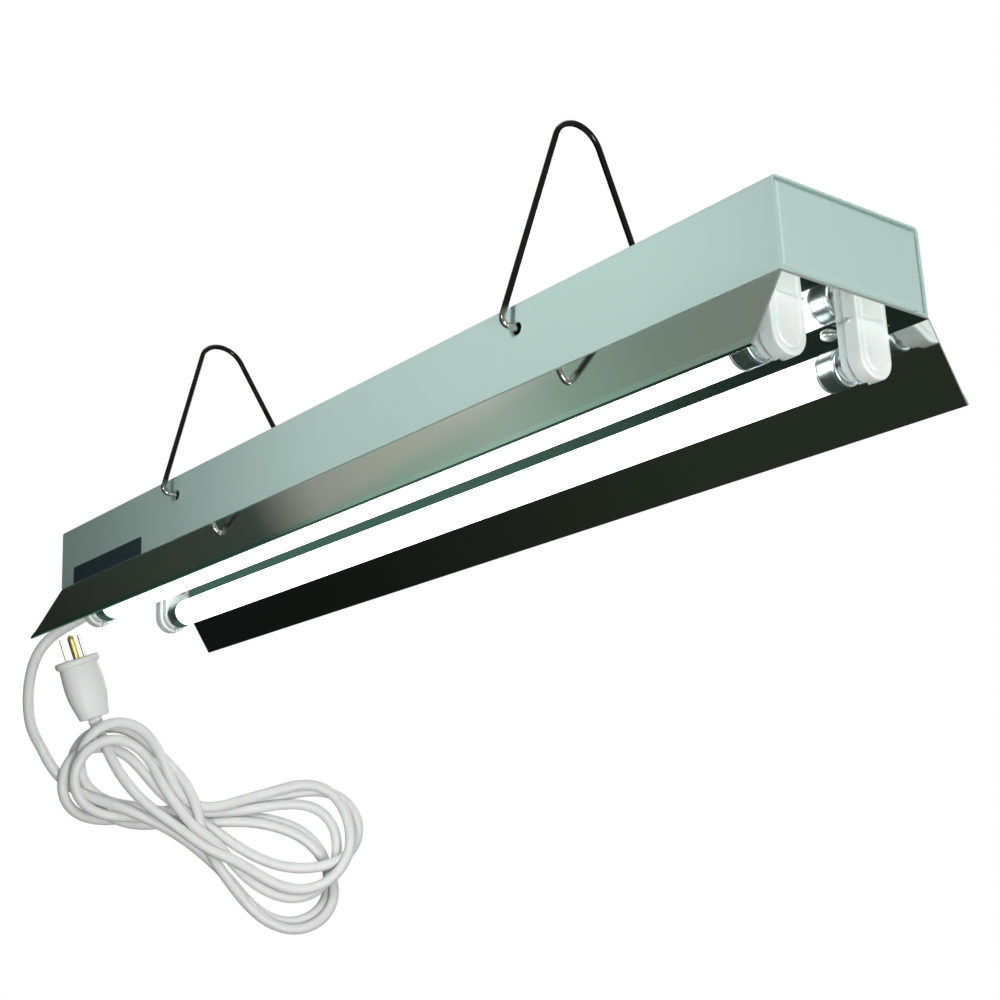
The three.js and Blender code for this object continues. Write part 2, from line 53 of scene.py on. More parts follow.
ROTOR = {"radius": 6.4, "bore": 6.8, "depth": 9.2, "slot": 2.9}
HOUSING = {"sheet": 0.9, "bend": 2.5, "lip": 7.0}
END_PLATE = {"sheet": 1.0, "bend": 2.6, "depth": 9.0, "gap": 0.12}
REFLECTOR = {"sheet": 0.8, "hem": 4.6, "hem_step": 0.3, "hem_turn": 4.0, "bend": 0.6}
SCREW = {"radius": 3.5, "head": 2.2, "shank": 1.6, "length": 6.0, "hole": 1.9}
HANGER = {"wire": 1.5, "slope": 0.39, "hook": 4.5, "hole": 3.0, "reach": 53.0, "top": 110.6, "tip": 37.5,
          "leans": {"hanger_1": -14.0, "hanger_2": 0.0}}
LABEL = {"drop": 0.35, "corner": 1.0, "film": 0.06, "bevel": 0.15}
RELIEF = {"flange": 9.0, "neck": 6.6, "tip": 4.9, "outside": 26.0, "inside": 11.0, "ribs": 6}
CORD = {"radius": 3.65, "sides": 20, "step": 3.0, "solve_step": 6.0, "as_drawn": 175.0, "clear": 7.5,
        "tightest": 26.0}
HANK = {"x": -420.0, "y": -17.0, "turn": 67.0, "half_depth": 13.0, "waist": (114.0, -172.0)}
PLUG = {"foot": (48.0, 0.0, -103.2), "tilt": (10.0, -18.5), "flange": 4.4, "length": 43.0, "flatness": 0.8}
BLADE = {"thickness": 1.5, "width": 6.4, "length": 15.4, "spacing": 12.7, "set": 2.0, "hole": 1.6,
         "hole_below_tip": 4.2}
GROUND_PIN = {"radius": 2.35, "length": 16.8, "offset": 8.5}
FLOOR = {"half": 9.0, "top": -1.2, "thick": 0.05}  # in metres

# The cord's free route from the strain relief's tip down to the hank.
LEAD = [
    (-328.3, 15, -26), (-345, 15.5, -27), (-360, 15.5, -28.8), (-375, 14.5, -31.6), (-390, 11.5, -35.6),
    (-403, 5, -40.5), (-412, -2.5, -47.5), (-417, -8.5, -57.5), (-418.5, -12.4, -70), (-418.8, -14.2, -90),
    (-417.7, -11.5, -110), (-413.5, -1.7, -131),
]
# The same cord in the hank's plane, as (along, depth, height): into the first loop, and out to the plug.
RUN_IN = [(20, 4, -139), (38, 3, -153), (62, 1, -166), (88, -2, -175)]
RUN_OUT = [(93, -13, -173), (77, -13, -159), (66, -12, -145), (58.5, -8, -130), (53, -1, -116),
           (48.1, 0, -103)]
# The hank's loops in turn, right and left of its waist: direction in degrees, reach, and half width as
# a share of the reach. The last loop is wound the other way round.
LOOPS = [(-33, 115, 0.27), (158, 95, 0.26), (-8, 122, 0.23), (147, 92, 0.30), (-35, 119, 0.26),
         (153, 86, 0.30), (-20, 110, 0.30), (144, 88, 0.30), (-13, 114, -0.33)]

housing_low, housing_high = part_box("housing_channel")
HALF = housing_high.x / MM
SIDE = housing_high.y / MM
BOTTOM = housing_low.z / MM
WING_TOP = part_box("reflector")[1].z / MM
tube_low, tube_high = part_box("lamp_tube_rear")
LAMP_Z = (tube_low.z + tube_high.z) / 2 / MM
LAMP_Y = (tube_low.y + tube_high.y) / 2 / MM
LAMP_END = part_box("lamp_cap_rear_right")[1].x / MM
LAMP_BELOW = BOTTOM - LAMP_Z


# ---- camera ----
def add_camera():
    heading, elevation, roll = (math.radians(a) for a in (140.14, 15.17, -2.84))
    forward = Vector((math.cos(elevation) * math.cos(heading), math.cos(elevation) * math.sin(heading),
                      math.sin(elevation)))
    turn = forward.to_track_quat("-Z", "Y").to_matrix().to_4x4() @ Matrix.Rotation(roll, 4, "Z")
    data = bpy.data.cameras.new("camera")
    data.lens, data.sensor_width = 57.32, 36.0
    data.clip_start, data.clip_end = 0.01, 60.0
    camera = bpy.data.objects.new("camera", data)
    camera.matrix_world = Matrix.Translation((0.6418, -0.4633, -0.2622)) @ turn
    bpy.context.scene.collection.objects.link(camera)
    bpy.context.scene.camera = camera


# ---- outlines and mesh building ----
def rounded(corners, steps=5):
    """A closed outline from (a, b, radius) corners, each turned into an arc of its radius."""
    outline = []
    for i, (a, b, radius) in enumerate(corners):
        here = Vector((a, b))
        if radius <= 0:
            outline.append((a, b))
            continue
        back = (Vector(corners[i - 1][:2]) - here).normalized()
        ahead = (Vector(corners[(i + 1) % len(corners)][:2]) - here).normalized()
        half = back.angle(ahead) / 2
        centre = here + (back + ahead).normalized() * (radius / math.sin(half))
        first = here + back * (radius / math.tan(half)) - centre
        sweep = first.angle_signed(here + ahead * (radius / math.tan(half)) - centre)
        for k in range(steps + 1):
            arm = Matrix.Rotation(-sweep * k / steps, 2) @ first
            outline.append((centre.x + arm.x, centre.y + arm.y))
    return outline


def loft(name, rings, filled=True):
    """One closed body through rings of as many points each; its ends are filled, or meet each other."""
    count = len(rings[0])
    vertices = [tuple(point) for ring in rings for point in ring]
    faces = []
    for r in range(len(rings) - 1):
        for i in range(count):
            j = (i + 1) % count
            faces.append((r * count + i, r * count + j, (r + 1) * count + j, (r + 1) * count + i))
    if filled:
        faces.append(tuple(reversed(range(count))))
        faces.append(tuple((len(rings) - 1) * count + i for i in range(count)))
    mesh = bpy.data.meshes.new(name)
    mesh.from_pydata(vertices, [], faces)
    work = bmesh.new()
    work.from_mesh(mesh)
    bmesh.ops.remove_doubles(work, verts=work.verts, dist=1e-5)
    bmesh.ops.dissolve_degenerate(work, edges=work.edges, dist=1e-6)
    bmesh.ops.recalc_face_normals(work, faces=work.faces)
    work.to_mesh(mesh)
    work.free()
    obj = bpy.data.objects.new(name, mesh)
    bpy.context.scene.collection.objects.link(obj)
    return obj


def prism(name, outline, x0, x1):
    """A Y-Z outline carried along +X."""
    return loft(name, [[(x, y, z) for y, z in outline] for x in (x0, x1)])


def lathe(name, profile, sides=48, axis="X", filled=True):
    """A profile of (radius, distance) pairs turned about an axis; one that isn't filled is a ring."""
    turn = [2 * math.pi * i / sides for i in range(sides)]
    rings = []
    for radius, along in profile:
        if axis == "X":
            rings.append([(along, radius * math.cos(a), radius * math.sin(a)) for a in turn])
        else:
            rings.append([(radius * math.cos(a), radius * math.sin(a), along) for a in turn])
    return loft(name, rings, filled)


def rod(radius, start, stop, sides, axis="X"):
    """A round cutter along an axis."""
    return lathe("hole", [(0, start), (radius, start), (radius, stop), (0, stop)], sides, axis)


def block(name, low, high):
    (x0, y0, z0), (x1, y1, z1) = low, high
    return prism(name, [(y0, z0), (y1, z0), (y1, z1), (y0, z1)], x0, x1)


def tube(name, points, radius, sides=16, ends=0.3):
    """A round wire along points, its two ends chamfered."""
    points = [Vector(p) for p in points]
    tangents = []
    for i in range(len(points)):
        tangents.append((points[min(i + 1, len(points) - 1)] - points[max(i - 1, 0)]).normalized())
    normal = tangents[0].orthogonal().normalized()
    rings = []
    for i, (point, tangent) in enumerate(zip(points, tangents)):
        normal = (normal - tangent * normal.dot(tangent)).normalized()
        other = tangent.cross(normal)
        turn = [2 * math.pi * k / sides for k in range(sides)]
        ring = [normal * math.cos(a) + other * math.sin(a) for a in turn]
        if i in (0, len(points) - 1):
            inward = tangent * (ends if i == 0 else -ends)
            near = [point + inward + arm * radius for arm in ring]
            face = [point + arm * (radius - ends) for arm in ring]
            rings += [face, near] if i == 0 else [near, face]
        else:
            rings.append([point + arm * radius for arm in ring])
    return loft(name, rings)


def settle(obj):
    """Applies the object's modifiers to its mesh."""
    graph = bpy.context.evaluated_depsgraph_get()
    mesh = bpy.data.meshes.new_from_object(obj.evaluated_get(graph))
    obj.modifiers.clear()
    obj.data = mesh
    return obj


def combine(obj, operation, *tools):
    for tool in tools:
        step = obj.modifiers.new("combine", "BOOLEAN")
        step.operation, step.solver, step.object = operation, "EXACT", tool
        bpy.context.view_layer.update()
        settle(obj)
        bpy.data.objects.remove(tool)
    return obj


def soften(obj, width, segments=3, angle=35):
    """Rounds the sharp edges by width."""
    obj.modifiers.new("weld_cuts", "WELD").merge_threshold = 0.02
    bevel = obj.modifiers.new("soften", "BEVEL")
    bevel.width, bevel.segments, bevel.limit_method = width, segments, "ANGLE"
    bevel.angle_limit, bevel.use_clamp_overlap = math.radians(angle), True
    obj.modifiers.new("weld_slivers", "WELD").merge_threshold = 0.003
    bpy.context.view_layer.update()
    return settle(obj)


def shade(obj, angle=35):
    """Smooth shading up to an angle, with the normals of large flat faces kept flat."""
    obj.data.shade_smooth()
    obj.data.set_sharp_from_angle(angle=math.radians(angle))
    weighted = obj.modifiers.new("weighted", "WEIGHTED_NORMAL")
    weighted.weight, weighted.keep_sharp = 100, True
    bpy.context.view_layer.update()
    settle(obj)


def piece(obj, material, body, slot, *nodes, place=None, angle=35):
    """Brings a piece drawn in millimetres into the frame, puts it on the body it rides on, and hides the
    frame's nodes it stands for.
    """
    matrix = Matrix.Scale(MM, 4) @ (place or Matrix.Identity(4))
    if obj.type == "MESH":
        obj.data.transform(matrix)
        shade(obj, angle)
    obj.data.materials.clear()
    obj.data.materials.append(material)
    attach(obj, body)
    if nodes:
        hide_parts(*nodes)
    return obj


# ---- materials ----
def mixed(tree, factor, first, last, kind="MIX"):
    """A colour that goes from the first to the last, each of them a colour or a socket."""
    node = tree.nodes.new("ShaderNodeMix")
    node.data_type, node.blend_type = "RGBA", kind
    tree.links.new(factor, node.inputs["Factor"])
    for socket, value in zip([s for s in node.inputs if s.type == "RGBA"], (first, last)):
        if isinstance(value, tuple):
            socket.default_value = (*value, 1.0)
        else:
            tree.links.new(value, socket)
    return next(s for s in node.outputs if s.type == "RGBA")


class Finish:
    """A Principled material whose colour, gloss and relief vary over the object's own space."""

    def __init__(self, name, colour, roughness, metallic=0.0, **sockets):
        self.material = bpy.data.materials.new(name)
        self.material.use_nodes = True
        self.nodes, self.links = self.material.node_tree.nodes, self.material.node_tree.links
        self.shader = self.nodes["Principled BSDF"]
        self.set("Base Color", (*colour, 1.0))
        self.set("Roughness", roughness)
        self.set("Metallic", metallic)
        for socket, value in sockets.items():
            self.set(socket.replace("_", " "), value)
        self.place = self.nodes.new("ShaderNodeTexCoord").outputs["Object"]
        self.height = None

    def set(self, socket, value):
        self.shader.inputs[socket].default_value = value

    def stretched(self, stretch):
        mapping = self.nodes.new("ShaderNodeMapping")
        mapping.inputs["Scale"].default_value = stretch
        self.links.new(self.place, mapping.inputs["Vector"])
        return mapping.outputs["Vector"]

    def noise(self, size, detail=3.0, rough=0.55, stretch=(1, 1, 1)):
        """Noise with features of about size millimetres."""
        node = self.nodes.new("ShaderNodeTexNoise")
        node.inputs["Scale"].default_value = 1 / (size * MM)
        node.inputs["Detail"].default_value = detail
        node.inputs["Roughness"].default_value = rough
        self.links.new(self.stretched(stretch), node.inputs["Vector"])
        return node.outputs["Fac"]

    def specks(self, size, share=0.12):
        """Small round specks, white on black, one in some of the cells of that size."""
        node = self.nodes.new("ShaderNodeTexVoronoi")
        node.inputs["Scale"].default_value = 1 / (size * MM)
        self.links.new(self.place, node.inputs["Vector"])
        return self.ramp(node.outputs["Distance"], share * 0.5, share, 1.0, 0.0)

    def along(self, axis):
        """The X, Y or Z of each point, in metres."""
        split = self.nodes.new("ShaderNodeSeparateXYZ")
        self.links.new(self.place, split.inputs["Vector"])
        return split.outputs[axis]

    def off_middle(self):
        """Distance along the lamp from its middle, in metres."""
        distance = self.nodes.new("ShaderNodeMath")
        distance.operation = "ABSOLUTE"
        self.links.new(self.along("X"), distance.inputs[0])
        return distance.outputs["Value"]

    def ramp(self, factor, low, high, first=0.0, last=1.0):
        node = self.nodes.new("ShaderNodeMapRange")
        for socket, value in zip(("From Min", "From Max", "To Min", "To Max"), (low, high, first, last)):
            node.inputs[socket].default_value = value
        self.links.new(factor, node.inputs["Value"])
        return node.outputs["Result"]

    def between(self, factor, first, last):
        return mixed(self.material.node_tree, factor, first, last)

    def tint(self, factor, first, last, socket="Base Color"):
        self.links.new(self.between(factor, first, last), self.shader.inputs[socket])
        return self

    def gloss(self, factor, low, high):
        self.links.new(self.ramp(factor, 0.3, 0.7, low, high), self.shader.inputs["Roughness"])
        return self

    def relief(self, height, depth, strength=1.0):
        """Bump of depth millimetres; a second call adds to the first."""
        node = self.nodes.new("ShaderNodeBump")
        node.inputs["Strength"].default_value = strength
        node.inputs["Distance"].default_value = depth * MM
        self.links.new(height, node.inputs["Height"])
        if self.height:
            self.links.new(self.height, node.inputs["Normal"])
        self.height = node.outputs["Normal"]
        self.links.new(self.height, self.shader.inputs["Normal"])
        return self


def housing_paint():
    paint = Finish("housing_paint", (0.42, 0.56, 0.52), 0.38, 0.0, Coat_Weight=0.25, Coat_Roughness=0.16)
    paint.tint(paint.noise(90, 4), (0.405, 0.545, 0.505), (0.435, 0.575, 0.535))
    paint.gloss(paint.noise(35, 4), 0.34, 0.44)
    return paint.relief(paint.noise(1.1, 2), 0.02, 0.25).relief(paint.noise(70, 2), 0.25, 0.12).material


def mirror():
    sheet = Finish("reflector_mirror", (0.86, 0.88, 0.86), 0.05, 1.0)
    sheet.tint(sheet.specks(7.0, 0.05), (0.86, 0.88, 0.86), (0.62, 0.64, 0.60))
    sheet.gloss(sheet.noise(26, 4, stretch=(0.15, 1, 1)), 0.035, 0.075)
    return sheet.relief(sheet.noise(120, 1), 0.5, 0.04).material


def zinc():
    plate = Finish("zinc_steel", (0.55, 0.56, 0.55), 0.36, 1.0)
    plate.tint(plate.noise(5, 5, 0.7), (0.44, 0.46, 0.46), (0.66, 0.67, 0.65))
    plate.gloss(plate.noise(8, 4), 0.28, 0.46)
    return plate.relief(plate.noise(0.5, 2), 0.01, 0.3).material


def nickel():
    screw = Finish("bright_screw", (0.84, 0.83, 0.78), 0.3, 1.0)
    screw.tint(screw.noise(0.9, 4), (0.74, 0.72, 0.66), (0.92, 0.91, 0.86))
    return screw.gloss(screw.noise(0.6, 3), 0.25, 0.38).material


def hanger_wire():
    """The wire as the photo shows it, coloured by height: near-black legs are a painted dark reflection, the
    bright hooks a painted bright reflection.
    """
    wire = Finish("hanger_wire", (0.03, 0.03, 0.03), 0.12, 1.0)
    # Painted reflection by height: near-black legs with a slight random tone, and bright grey hooks below the
    # housing's top.
    black = wire.between(wire.noise(14, 4), (0.02, 0.02, 0.019), (0.05, 0.05, 0.047))
    wire.tint(wire.ramp(wire.along("Z"), -0.003, -0.009), black, (0.46, 0.46, 0.42))
    wire.gloss(wire.noise(4, 4), 0.08, 0.18)
    return wire.relief(wire.noise(1.2, 2, stretch=(1, 1, 0.15)), 0.003, 0.3).material


def holder_plastic():
    plastic = Finish("holder_plastic", (0.79, 0.84, 0.82), 0.34, 0.0, Subsurface_Weight=0.25,
                     Subsurface_Scale=0.002)
    plastic.tint(plastic.noise(12, 3), (0.76, 0.81, 0.79), (0.82, 0.87, 0.85))
    plastic.gloss(plastic.noise(3, 3), 0.28, 0.4)
    return plastic.relief(plastic.noise(0.4, 2), 0.006, 0.4).material


def cap_metal():
    cap = Finish("lamp_cap", (0.70, 0.78, 0.77), 0.32, 1.0)
    cap.tint(cap.noise(6, 4), (0.66, 0.74, 0.73), (0.74, 0.81, 0.80))
    cap.gloss(cap.noise(2.5, 4, stretch=(3, 1, 1)), 0.28, 0.38)
    return cap.relief(cap.noise(0.7, 2, stretch=(4, 1, 1)), 0.003, 0.2).material


def brass():
    metal = Finish("brass", (0.62, 0.53, 0.20), 0.32, 1.0)
    metal.tint(metal.noise(4, 4), (0.54, 0.45, 0.15), (0.68, 0.59, 0.25))
    metal.gloss(metal.noise(2, 3), 0.26, 0.4)
    return metal.relief(metal.noise(0.9, 2, stretch=(1, 1, 0.2)), 0.004, 0.25).material


def lamp_pin():
    """Bare brass pins standing on the cap's grey insulating disc."""
    metal = Finish("lamp_pin", (0.62, 0.53, 0.20), 0.34, 1.0)
    bare = metal.ramp(metal.off_middle(), (LAMP_END + 0.15) * MM, (LAMP_END + 0.3) * MM)
    metal.tint(bare, (0.42, 0.47, 0.46), (0.62, 0.53, 0.20))
    metal.links.new(bare, metal.shader.inputs["Metallic"])
    metal.gloss(metal.noise(2, 3), 0.28, 0.42)
    return metal.relief(metal.noise(0.9, 2), 0.004, 0.25).material


def nickel_blade():
    metal = Finish("plug_blade", (0.60, 0.56, 0.46), 0.32, 1.0)
    metal.tint(metal.noise(4, 4), (0.54, 0.49, 0.39), (0.66, 0.63, 0.54))
    metal.gloss(metal.noise(2, 3), 0.26, 0.4)
    return metal.relief(metal.noise(0.9, 2, stretch=(1, 1, 0.15)), 0.004, 0.25).material


def lamp_glass():
    glass = Finish("lamp_glass", (0.92, 0.94, 0.95), 0.25, 0.0, Emission_Strength=4.0)
    glass.tint(glass.noise(30, 3), (0.90, 0.93, 0.94), (0.94, 0.95, 0.96))
    dimming = glass.ramp(glass.off_middle(), LAMP["full_glow"] * MM, LAMP_END * MM)
    glass.tint(dimming, (0.93, 0.99, 1.0), (0.05, 0.075, 0.09), "Emission Color")
    return glass.relief(glass.noise(0.8, 2), 0.004, 0.2).material


def cord_vinyl():
    vinyl = Finish("cord_vinyl", (0.81, 0.805, 0.80), 0.42, 0.0, Subsurface_Weight=0.12,
                   Subsurface_Scale=0.0015)
    vinyl.tint(vinyl.noise(40, 4), (0.78, 0.775, 0.77), (0.84, 0.835, 0.83))
    vinyl.gloss(vinyl.noise(6, 4), 0.36, 0.5)
    return vinyl.relief(vinyl.noise(0.9, 3), 0.02, 0.35).material


def label_film():
    film = Finish("label_film", (0.030, 0.052, 0.062), 0.34)
    film.tint(film.noise(18, 3), (0.024, 0.043, 0.052), (0.038, 0.062, 0.074))
    return film.relief(film.noise(9, 2), 0.03, 0.2).material


def plain(name, dark, light, size, roughness, metallic=0.0):
    """Painted, moulded and sleeved pieces inside the housing."""
    finish = Finish(name, light, roughness, metallic)
    finish.tint(finish.noise(size, 4), dark, light)
    finish.gloss(finish.noise(size * 0.5, 3), roughness - 0.06, roughness + 0.08)
    return finish.relief(finish.noise(size * 0.08, 2), 0.01, 0.3).material


# ---- cord ----
def hank_matrix():
    turn = Matrix.Rotation(math.radians(HANK["turn"]), 4, "Z")
    return Matrix.Translation((HANK["x"], HANK["y"], 0)) @ turn


def plug_matrix():
    about_x, about_y = (math.radians(a) for a in PLUG["tilt"])
    turn = Matrix.Rotation(about_y, 4, "Y") @ Matrix.Rotation(about_x, 4, "X")
    return hank_matrix() @ Matrix.Translation(PLUG["foot"]) @ turn


def loops(per_loop=20):
    """The hank's figure-eight turns: front strands fall to the right through the waist, back ones rise."""
    points = []
    last = len(LOOPS) - 1
    for k, (degrees, reach, wide) in enumerate(LOOPS):
        side = 1 if k % 2 == 0 else -1
        for i in range(per_loop):
            share = i / per_loop
            turn = math.pi * share
            beside = min(max(k - 1 if share < 0.5 else k + 1, 0), last)
            lean = 0.5 * max(0.0, 1 - min(share, 1 - share) * 4)
            own = degrees if side > 0 else degrees - 180
            other = LOOPS[beside][0] - (0 if beside % 2 == 0 else 180)
            angle = math.radians(own + (other - own) * lean)
            out = side * reach * math.sin(turn)
            across = -wide * reach * math.sin(2 * turn)
            depth = -7 * side * math.cos(turn) - 6 * ((k + share) / len(LOOPS) - 0.5)
            if wide < 0:
                depth = 7 * math.cos(turn) - 4
            points.append((HANK["waist"][0] + out * math.cos(angle) - across * math.sin(angle), depth,
                           HANK["waist"][1] + out * math.sin(angle) + across * math.cos(angle)))
    return points[2:-2]


def spline(points, per_span=8):
    """A centripetal Catmull-Rom curve through points."""
    ends = [2 * points[0] - points[1], *points, 2 * points[-1] - points[-2]]
    curve = []
    for i in range(1, len(ends) - 2):
        p = ends[i - 1:i + 3]
        t = [0.0]
        for a, b in zip(p, p[1:]):
            t.append(t[-1] + np.linalg.norm(b - a) ** 0.5)
        for s in np.linspace(t[1], t[2], per_span, endpoint=False):
            a = [((t[j + 1] - s) * p[j] + (s - t[j]) * p[j + 1]) / (t[j + 1] - t[j]) for j in range(3)]
            b = [((t[j + 2] - s) * a[j] + (s - t[j]) * a[j + 1]) / (t[j + 2] - t[j]) for j in range(2)]
            curve.append(((t[2] - s) * b[0] + (s - t[1]) * b[1]) / (t[2] - t[1]))
    return np.array([*curve, points[-1]])


def evenly(points, step):
    lengths = np.linalg.norm(np.diff(points, axis=0), axis=1)
    along = np.concatenate([[0.0], np.cumsum(lengths)])
    even = np.linspace(0, along[-1], int(round(along[-1] / step)) + 1)
    return np.stack([np.interp(even, along, points[:, axis]) for axis in range(3)], -1)


def laid_apart(points, held, rounds=200):
    """The strands pushed a diameter apart, depth first, keeping their length and their easy bends."""
    count = len(points)
    step = np.linalg.norm(points[1] - points[0])
    order = np.arange(count)
    neighbours = abs(order[:, None] - order[None, :]) <= int(3 * CORD["clear"] / step)
    free = np.clip((order - held[0]) / 10, 0, 1) * np.clip((count - 1 - held[1] - order) / 6, 0, 1)
    free = free[:, None]
    most = step ** 2 / (2 * CORD["tightest"])
    for _ in range(rounds):
        between = points[:, None, :] - points[None, :, :]
        distance = np.linalg.norm(between, axis=2) + 1e-9
        close = (distance < CORD["clear"]) & ~neighbours
        push = np.where(close, (CORD["clear"] - distance) / distance * 0.5, 0)
        between[:, :, 1] *= 1.6
        shift = (push[:, :, None] * between).sum(1) / np.maximum(close.sum(1), 1)[:, None]
        points = points + 0.8 * free * shift
        bow = np.zeros_like(points)
        bow[1:-1] = (points[:-2] + points[2:]) / 2 - points[1:-1]
        stiff = np.zeros_like(points)
        stiff[2:-2] = bow[2:-2] - (bow[1:-3] + bow[3:-1]) / 2
        sharp = np.linalg.norm(bow, axis=1)[:, None] + 1e-9
        points = points + free * (0.22 * stiff + 0.5 * bow * np.clip(1 - most / sharp, 0, 1))
        for _ in range(2):
            span = points[1:] - points[:-1]
            size = np.linalg.norm(span, axis=1)[:, None]
            pull = 0.25 * (size - step) / size * span
            points[:-1] += free[:-1] * pull
            points[1:] -= free[1:] * pull
        depth = points[:, 1:2]
        beyond = np.clip(abs(depth) - HANK["half_depth"], 0, None)
        points[:, 1:2] -= 0.5 * free * np.sign(depth) * beyond
    return points


def cord_route():
    """The whole centreline in the frame, in millimetres."""
    to_hank = hank_matrix().inverted()
    lead = [np.array(to_hank @ Vector(p)) for p in LEAD]
    rest = [np.array(p, float) for p in [*RUN_IN, *loops(), *RUN_OUT]]
    even = evenly(spline([*lead, *rest]), CORD["solve_step"])
    held = int(CORD["as_drawn"] / CORD["solve_step"]), 3
    relaxed = laid_apart(even, held)
    smooth = evenly(spline(list(relaxed), 6), CORD["step"])
    return [hank_matrix() @ Vector(p) for p in smooth]


def add_cord(vinyl):
    route = cord_route()
    curve = bpy.data.curves.new("power_cord", "CURVE")
    curve.dimensions = "3D"
    curve.bevel_depth = CORD["radius"] * MM
    curve.bevel_resolution = CORD["sides"] // 4
    curve.use_fill_caps = True
    line = curve.splines.new("POLY")
    line.points.add(len(route) - 1)
    for point, place in zip(line.points, route):
        point.co = (*(place * MM), 1.0)
    line.use_smooth = True
    cord = bpy.data.objects.new("power_cord", curve)
    bpy.context.scene.collection.objects.link(cord)
    piece(cord, vinyl, "fixture", "cord_vinyl", "cord_lead", "cord_hank")
    length = sum((b - a).length for a, b in zip(route, route[1:])) * MM
    return cord, route[0] * MM, length


def add_plug(vinyl, blade_metal, pin_metal):
    place = plug_matrix()
    plug = PLUG
    high = plug["length"]
    brim = high - plug["flange"]

    def section(wide, z, squareness):
        """A rounded-rectangle section: squareness 2 is an ellipse, more is boxier."""
        ring = []
        for i in range(64):
            a = 2 * math.pi * i / 64
            c, s = math.cos(a), math.sin(a)
            ring.append((wide * math.copysign(abs(c) ** (2 / squareness), c),
                         wide * plug["flatness"] * math.copysign(abs(s) ** (2 / squareness), s), z))
        return ring

    profile = [(3.9, -7.0, 2), (4.6, -6.6, 2), (4.8, -5.4, 2), (4.3, -4.8, 2), (4.3, -4.2, 2), (4.9, -3.7, 2),
               (5.0, -2.6, 2), (4.5, -2.0, 2), (4.5, -1.2, 2), (5.0, -0.6, 2), (6.4, -0.1, 2.2),
               (9.2, 0.0, 2.6), (10.1, 0.4, 2.8), (10.5, 1.4, 2.9), (11.2, 5.0, 2.9), (12.4, 10.0, 2.9),
               (13.4, 15.0, 2.9), (13.9, 20.0, 2.8), (14.0, 24.0, 2.8), (13.8, 29.0, 2.8), (13.5, 34.0, 2.8),
               (13.3, brim - 1.0, 2.8), (13.5, brim - 0.3, 2.8), (14.6, brim, 2.8), (15.1, brim + 0.6, 2.8),
               (15.3, brim + 1.4, 2.8), (15.3, high - 1.4, 2.8), (15.0, high - 0.5, 2.8), (14.3, high, 2.8),
               (12.0, high, 2.8)]
    body = loft("plug_body_moulded", [section(*row) for row in profile])
    body = piece(body, vinyl, "fixture", "cord_vinyl", "plug_body", place=place, angle=50)
    root = high + GAP
    y = BLADE["set"]
    blades = []
    for side, s in (("left", -1), ("right", 1)):
        x = s * BLADE["spacing"] / 2
        half, wide, tall = BLADE["thickness"] / 2, BLADE["width"] / 2, BLADE["length"]
        low, high_end = (x - half, y - wide, root), (x + half, y + wide, root + tall)
        blade = block(f"plug_blade_{side}_milled", low, high_end)
        hole = rod(BLADE["hole"], x - 3, x + 3, 24)
        hole.data.transform(Matrix.Translation((0, y, root + tall - BLADE["hole_below_tip"])))
        soften(combine(blade, "DIFFERENCE", hole), 0.28)
        blades.append(piece(blade, blade_metal, "fixture", "zinc_steel", f"plug_blade_{side}", place=place))
    radius = GROUND_PIN["radius"]
    tip = root + GROUND_PIN["length"]
    profile = [(0, root), (radius, root), (radius, tip - 3)]
    profile += [(radius * math.cos(a), tip - 3 + 3 * math.sin(a))
                for a in np.linspace(0.15, math.pi / 2, 8)]
    pin = lathe("plug_ground_pin_turned", profile, 32, "Z")
    pin.data.transform(Matrix.Translation((0, y - GROUND_PIN["offset"], 0)))
    pin = piece(pin, pin_metal, "fixture", "brass", "plug_ground_pin", place=place)
    return [body, *blades, pin]


def add_strain_relief(vinyl):
    relief = RELIEF
    profile = [(0, -relief["inside"]), (relief["flange"] - 1.6, -relief["inside"]),
               (relief["flange"] - 1, -relief["inside"] + 0.6), (relief["flange"] - 1, -8.4),
               (relief["neck"], -7.6), (relief["neck"], GAP), (relief["flange"] - 0.4, GAP),
               (relief["flange"], GAP + 0.4), (relief["flange"], 2.2), (relief["flange"] - 0.5, 2.7),
               (relief["neck"], 3.2)]
    start, stop = 4.4, relief["outside"] - 2.0
    for i in range(relief["ribs"]):
        at = start + (stop - start) * i / relief["ribs"]
        wide = (stop - start) / relief["ribs"]
        full = relief["neck"] + (relief["tip"] - relief["neck"]) * (at / relief["outside"])
        profile += [(full - 0.9, at), (full - 0.9, at + 0.3 * wide), (full, at + 0.42 * wide),
                    (full, at + 0.85 * wide), (full - 0.4, at + wide)]
    profile += [(relief["tip"], stop + 0.2), (relief["tip"], relief["outside"] - 0.5),
                (relief["tip"] - 0.5, relief["outside"]), (0, relief["outside"])]
    obj = lathe("strain_relief_ribbed", profile, 48)
    low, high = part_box("strain_relief")
    centre = ((low.y + high.y) / 2 / MM, (low.z + high.z) / 2 / MM)
    place = Matrix.Translation((-HALF, *centre)) @ Matrix.Rotation(math.pi, 4, "Z")
    return piece(obj, vinyl, "fixture", "cord_vinyl", "strain_relief", place=place)


# ---- housing ----
def add_housing(paint):
    half, top, sheet, bend, lip = SIDE, 0.0, HOUSING["sheet"], HOUSING["bend"], HOUSING["lip"]
    inner, floor, edge, inside = half - sheet, BOTTOM + sheet, 0.25, bend - sheet
    right = [(half, top, bend), (half, BOTTOM, 0.5), (half - lip, BOTTOM, edge), (half - lip, floor, edge),
             (inner, floor, 0.2), (inner, top - sheet, inside)]
    left = [(-y, z, r) for y, z, r in reversed(right)]
    body = prism("housing_sheet", rounded(right + left, 6), -HALF, HALF)
    for name in HANGER["leans"]:
        x, z = hanger_pivot(name)
        hole = rod(HANGER["hole"], -60, 60, 40, "Z")
        hole.data.transform(Matrix.Translation((x, 0, z)) @ Matrix.Rotation(math.pi / 2, 4, "X"))
        combine(body, "DIFFERENCE", hole)
    return piece(body, paint, "fixture", "housing_paint", "housing_channel")


